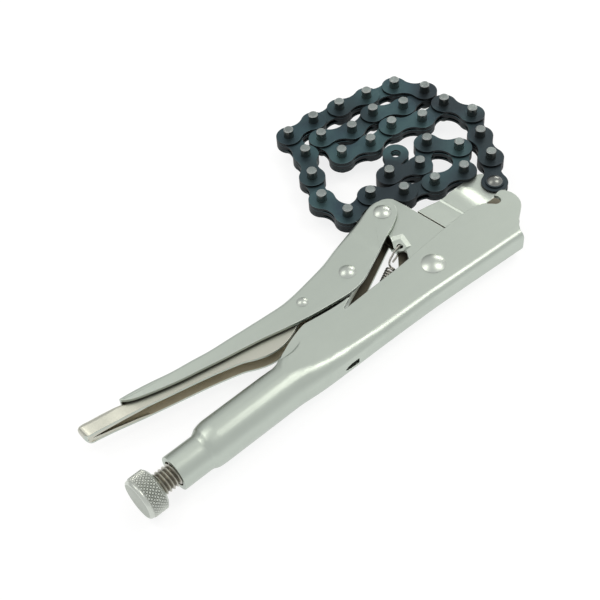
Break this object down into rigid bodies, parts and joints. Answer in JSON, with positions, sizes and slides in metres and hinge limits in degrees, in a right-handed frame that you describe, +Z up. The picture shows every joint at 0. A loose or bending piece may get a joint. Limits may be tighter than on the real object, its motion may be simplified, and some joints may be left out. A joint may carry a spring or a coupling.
{
  "type": "locking chain clamp",
  "caption": "Hand-held locking clamp: a folded steel toggle handle with a release lever and screw adjuster, whose pivoting jaw carries a long coiled chain that hooks over the nose.",
  "frame": {"origin": "middle of the whole part seen from above, at the height of the lowest line of the round grip", "axes": "+X along the handle from the knob to the hook, +Y from the handle towards the lever and the chain coil, +Z up along the rivets"},
  "size_m": [0.2584, 0.1332, 0.0192],
  "materials": {
    "nickel_steel": "satin nickel plate",
    "rivet_steel": "polished",
    "screw_steel": "satin",
    "spring_wire": "satin",
    "blued_steel": "blued"
  },
  "bodies": {
    "handle": {"handle": "nickel_steel", "handle_head": "nickel_steel", "main_rivet": "rivet_steel", "return_spring": "spring_wire"},
    "jaw": {"jaw": "nickel_steel", "lever_rivet": "rivet_steel", "chain_rivet": "rivet_steel"},
    "lever": {"lever": "nickel_steel", "link_rivet": "rivet_steel", "release_rivet": "rivet_steel"},
    "toggle": {"toggle_link": "nickel_steel"},
    "release": {"release_lever": "nickel_steel"},
    "screw_nose": {"screw_nose": "screw_steel"},
    "screw": {"screw_rod": "screw_steel", "knob": "nickel_steel"},
    "link_01": {"link_01": "blued_steel"},
    "link_02": {"link_02": "blued_steel"},
    "link_03": {"link_03": "blued_steel"},
    "link_04": {"link_04": "blued_steel"},
    "link_05": {"link_05": "blued_steel"},
    "link_06": {"link_06": "blued_steel"},
    "link_07": {"link_07": "blued_steel"},
    "link_08": {"link_08": "blued_steel"},
    "link_09": {"link_09": "blued_steel"},
    "link_10": {"link_10": "blued_steel"},
    "link_11": {"link_11": "blued_steel"},
    "link_12": {"link_12": "blued_steel"},
    "link_13": {"link_13": "blued_steel"},
    "link_14": {"link_14": "blued_steel"},
    "link_15": {"link_15": "blued_steel"},
    "link_16": {"link_16": "blued_steel"},
    "link_17": {"link_17": "blued_steel"},
    "link_18": {"link_18": "blued_steel"},
    "link_19": {"link_19": "blued_steel"},
    "link_20": {"link_20": "blued_steel"},
    "link_21": {"link_21": "blued_steel"},
    "link_22": {"link_22": "blued_steel"},
    "link_23": {"link_23": "blued_steel"},
    "link_24": {"link_24": "blued_steel"},
    "link_25": {"link_25": "blued_steel"},
    "link_26": {"link_26": "blued_steel"},
    "link_27": {"link_27": "blued_steel"},
    "link_28": {"link_28": "blued_steel"},
    "link_29": {"link_29": "blued_steel"},
    "link_30": {"link_30": "blued_steel"},
    "link_31": {"link_31": "blued_steel"}
  },
  "joints": [
    {"name": "jaw_pivot", "type": "hinge", "parent": "handle", "child": "jaw", "pos_m": [0.03727, -0.05048, 0.0096], "axis": [0, 0, 1], "range_deg": [0, 7.58], "deforming": ["return_spring"]},
    {"name": "lever_open", "type": "hinge", "parent": "jaw", "child": "lever", "pos_m": [0.04287, -0.01188, 0.0096], "axis": [0, 0, -1], "range_deg": [0, 28]},
    {"name": "toggle_pivot", "type": "hinge", "parent": "lever", "child": "toggle", "pos_m": [0.00657, -0.02748, 0.0096], "axis": [0, 0, 1], "range_deg": [0, 35.08]},
    {"name": "release_pull", "type": "hinge", "parent": "lever", "child": "release", "pos_m": [-0.01943, -0.02648, 0.0096], "axis": [0, 0, 1], "range_deg": [0, 5]},
    {"name": "screw_feed", "type": "slide", "parent": "handle", "child": "screw_nose", "axis": [1, 0, 0], "range_m": [-0.008, 0]},
    {"name": "screw_turn", "type": "hinge", "parent": "screw_nose", "child": "screw", "pos_m": [-0.08273, -0.05278, 0.0096], "axis": [1, 0, 0], "range_deg": [-1646, 0]},
    {"name": "chain_swing", "type": "hinge", "parent": "jaw", "child": "link_01", "pos_m": [0.09677, -0.03228, 0.0096], "axis": [0, 0, -1], "range_deg": [0, 7.58]},
    {"name": "chain_pin_01", "type": "hinge", "parent": "link_01", "child": "link_02", "pos_m": [0.10697, -0.02012, 0.0096], "axis": [0, 0, 1], "range_deg": [-10, 0]},
    {"name": "chain_pin_02", "type": "hinge", "parent": "link_02", "child": "link_03", "pos_m": [0.11442, -0.0061, 0.0096], "axis": [0, 0, 1], "range_deg": [-6.02, 0]},
    {"name": "chain_pin_03", "type": "hinge", "parent": "link_03", "child": "link_04", "pos_m": [0.12283, 0.00736, 0.0096], "axis": [0, 0, 1], "range_deg": [-53.02, 0]},
    {"name": "chain_pin_04", "type": "hinge", "parent": "link_04", "child": "link_05", "pos_m": [0.11846, 0.02262, 0.0096], "axis": [0, 0, 1], "range_deg": [-81.02, 0]},
    {"name": "chain_pin_05", "type": "hinge", "parent": "link_05", "child": "link_06", "pos_m": [0.10259, 0.02207, 0.0096], "axis": [0, 0, 1], "range_deg": [0, 26.02]},
    {"name": "chain_pin_06", "type": "hinge", "parent": "link_06", "child": "link_07", "pos_m": [0.08845, 0.02927, 0.0096], "axis": [0, 0, 1], "range_deg": [-35.02, 0]},
    {"name": "chain_pin_07", "type": "hinge", "parent": "link_07", "child": "link_08", "pos_m": [0.07266, 0.02761, 0.0096], "axis": [0, 0, 1], "range_deg": [0, 21.02]},
    {"name": "chain_pin_08", "type": "hinge", "parent": "link_08", "child": "link_09", "pos_m": [0.05733, 0.03172, 0.0096], "axis": [0, 0, 1], "range_deg": [0, 79.02]},
    {"name": "chain_pin_09", "type": "hinge", "parent": "link_09", "child": "link_10", "pos_m": [0.05816, 0.04758, 0.0096], "axis": [0, 0, 1], "range_deg": [0, 112.02]},
    {"name": "chain_pin_10", "type": "hinge", "parent": "link_10", "child": "link_11", "pos_m": [0.07255, 0.04087, 0.0096], "axis": [0, 0, 1], "range_deg": [-19.02, 0]},
    {"name": "chain_pin_11", "type": "hinge", "parent": "link_11", "child": "link_12", "pos_m": [0.08833, 0.04253, 0.0096], "axis": [0, 0, 1], "range_deg": [0, 56.02]},
    {"name": "chain_pin_12", "type": "hinge", "parent": "link_12", "child": "link_13", "pos_m": [0.10248, 0.03532, 0.0096], "axis": [0, 0, 1], "range_deg": [0, 8.02]},
    {"name": "chain_pin_13", "type": "hinge", "parent": "link_13", "child": "link_14", "pos_m": [0.11833, 0.03615, 0.0096], "axis": [0, 0, 1], "range_deg": [-73.02, 0]},
    {"name": "chain_pin_14", "type": "hinge", "parent": "link_14", "child": "link_15", "pos_m": [0.11016, 0.04976, 0.0096], "axis": [0, 0, 1], "range_deg": [-7.02, 0]},
    {"name": "chain_pin_15", "type": "hinge", "parent": "link_15", "child": "link_16", "pos_m": [0.0949, 0.05413, 0.0096], "axis": [0, 0, 1], "range_deg": [0, 23.02]},
    {"name": "chain_pin_16", "type": "hinge", "parent": "link_16", "child": "link_17", "pos_m": [0.07943, 0.0577, 0.0096], "axis": [0, 0, 1], "range_deg": [0, 8.02]},
    {"name": "chain_pin_17", "type": "hinge", "parent": "link_17", "child": "link_18", "pos_m": [0.06367, 0.05964, 0.0096], "axis": [0, 0, 1], "range_deg": [-8.02, 0]},
    {"name": "chain_pin_18", "type": "hinge", "parent": "link_18", "child": "link_19", "pos_m": [0.04781, 0.06019, 0.0096], "axis": [0, 0, 1], "range_deg": [-93.02, 0]},
    {"name": "chain_pin_19", "type": "hinge", "parent": "link_19", "child": "link_20", "pos_m": [0.04505, 0.04456, 0.0096], "axis": [0, 0, 1], "range_deg": [0, 9.02]},
    {"name": "chain_pin_20", "type": "hinge", "parent": "link_20", "child": "link_21", "pos_m": [0.03711, 0.03081, 0.0096], "axis": [0, 0, 1], "range_deg": [-20.02, 0]},
    {"name": "chain_pin_21", "type": "hinge", "parent": "link_21", "child": "link_22", "pos_m": [0.0304, 0.01642, 0.0096], "axis": [0, 0, 1], "range_deg": [-52.02, 0]},
    {"name": "chain_pin_22", "type": "hinge", "parent": "link_22", "child": "link_23", "pos_m": [0.03261, 0.0007, 0.0096], "axis": [0, 0, 1], "range_deg": [-104.02, 0]},
    {"name": "chain_pin_23", "type": "hinge", "parent": "link_23", "child": "link_24", "pos_m": [0.04843, 0.00209, 0.0096], "axis": [0, 0, 1], "range_deg": [0, 38.02]},
    {"name": "chain_pin_24", "type": "hinge", "parent": "link_24", "child": "link_25", "pos_m": [0.0611, -0.00747, 0.0096], "axis": [0, 0, 1], "range_deg": [-12.02, 0]},
    {"name": "chain_pin_25", "type": "hinge", "parent": "link_25", "child": "link_26", "pos_m": [0.07592, -0.01316, 0.0096], "axis": [0, 0, 1], "range_deg": [0, 11.02]},
    {"name": "chain_pin_26", "type": "hinge", "parent": "link_26", "child": "link_27", "pos_m": [0.09126, -0.01727, 0.0096], "axis": [0, 0, 1], "range_deg": [-38.02, 0]},
    {"name": "chain_pin_27", "type": "hinge", "parent": "link_27", "child": "link_28", "pos_m": [0.10103, -0.00476, 0.0096], "axis": [0, 0, 1], "range_deg": [-33.02, 0]},
    {"name": "chain_pin_28", "type": "hinge", "parent": "link_28", "child": "link_29", "pos_m": [0.09216, 0.0084, 0.0096], "axis": [0, 0, 1], "range_deg": [-56.02, 0]},
    {"name": "chain_pin_29", "type": "hinge", "parent": "link_29", "child": "link_30", "pos_m": [0.07884, -0.00024, 0.0096], "axis": [0, 0, 1], "range_deg": [0, 74.02]},
    {"name": "chain_pin_30", "type": "hinge", "parent": "link_30", "child": "link_31", "pos_m": [0.06402, 0.00545, 0.0096], "axis": [0, 0, 1], "range_deg": [0, 64.02]}
  ],
  "couplings": [
    {"joint": "jaw_pivot", "follows": "lever_open", "ratio": 0.27054},
    {"joint": "toggle_pivot", "follows": "lever_open", "ratio": 1.2521},
    {"joint": "chain_swing", "follows": "lever_open", "ratio": 0.27054},
    {"joint": "screw_turn", "follows": "screw_feed", "rad_per_m": 3590.4},
    {"joint": "chain_pin_02", "follows": "chain_pin_01", "ratio": 0.6},
    {"joint": "chain_pin_03", "follows": "chain_pin_01", "ratio": 5.3},
    {"joint": "chain_pin_04", "follows": "chain_pin_01", "ratio": 8.1},
    {"joint": "chain_pin_05", "follows": "chain_pin_01", "ratio": -2.6},
    {"joint": "chain_pin_06", "follows": "chain_pin_01", "ratio": 3.5},
    {"joint": "chain_pin_07", "follows": "chain_pin_01", "ratio": -2.1},
    {"joint": "chain_pin_08", "follows": "chain_pin_01", "ratio": -7.9},
    {"joint": "chain_pin_09", "follows": "chain_pin_01", "ratio": -11.2},
    {"joint": "chain_pin_10", "follows": "chain_pin_01", "ratio": 1.9},
    {"joint": "chain_pin_11", "follows": "chain_pin_01", "ratio": -5.6},
    {"joint": "chain_pin_12", "follows": "chain_pin_01", "ratio": -0.8},
    {"joint": "chain_pin_13", "follows": "chain_pin_01", "ratio": 7.3},
    {"joint": "chain_pin_14", "follows": "chain_pin_01", "ratio": 0.7},
    {"joint": "chain_pin_15", "follows": "chain_pin_01", "ratio": -2.3},
    {"joint": "chain_pin_16", "follows": "chain_pin_01", "ratio": -0.8},
    {"joint": "chain_pin_17", "follows": "chain_pin_01", "ratio": 0.8},
    {"joint": "chain_pin_18", "follows": "chain_pin_01", "ratio": 9.3},
    {"joint": "chain_pin_19", "follows": "chain_pin_01", "ratio": -0.9},
    {"joint": "chain_pin_20", "follows": "chain_pin_01", "ratio": 2},
    {"joint": "chain_pin_21", "follows": "chain_pin_01", "ratio": 5.2},
    {"joint": "chain_pin_22", "follows": "chain_pin_01", "ratio": 10.4},
    {"joint": "chain_pin_23", "follows": "chain_pin_01", "ratio": -3.8},
    {"joint": "chain_pin_24", "follows": "chain_pin_01", "ratio": 1.2},
    {"joint": "chain_pin_25", "follows": "chain_pin_01", "ratio": -1.1},
    {"joint": "chain_pin_26", "follows": "chain_pin_01", "ratio": 3.8},
    {"joint": "chain_pin_27", "follows": "chain_pin_01", "ratio": 3.3},
    {"joint": "chain_pin_28", "follows": "chain_pin_01", "ratio": 5.6},
    {"joint": "chain_pin_29", "follows": "chain_pin_01", "ratio": -7.4},
    {"joint": "chain_pin_30", "follows": "chain_pin_01", "ratio": -6.4}
  ]
}
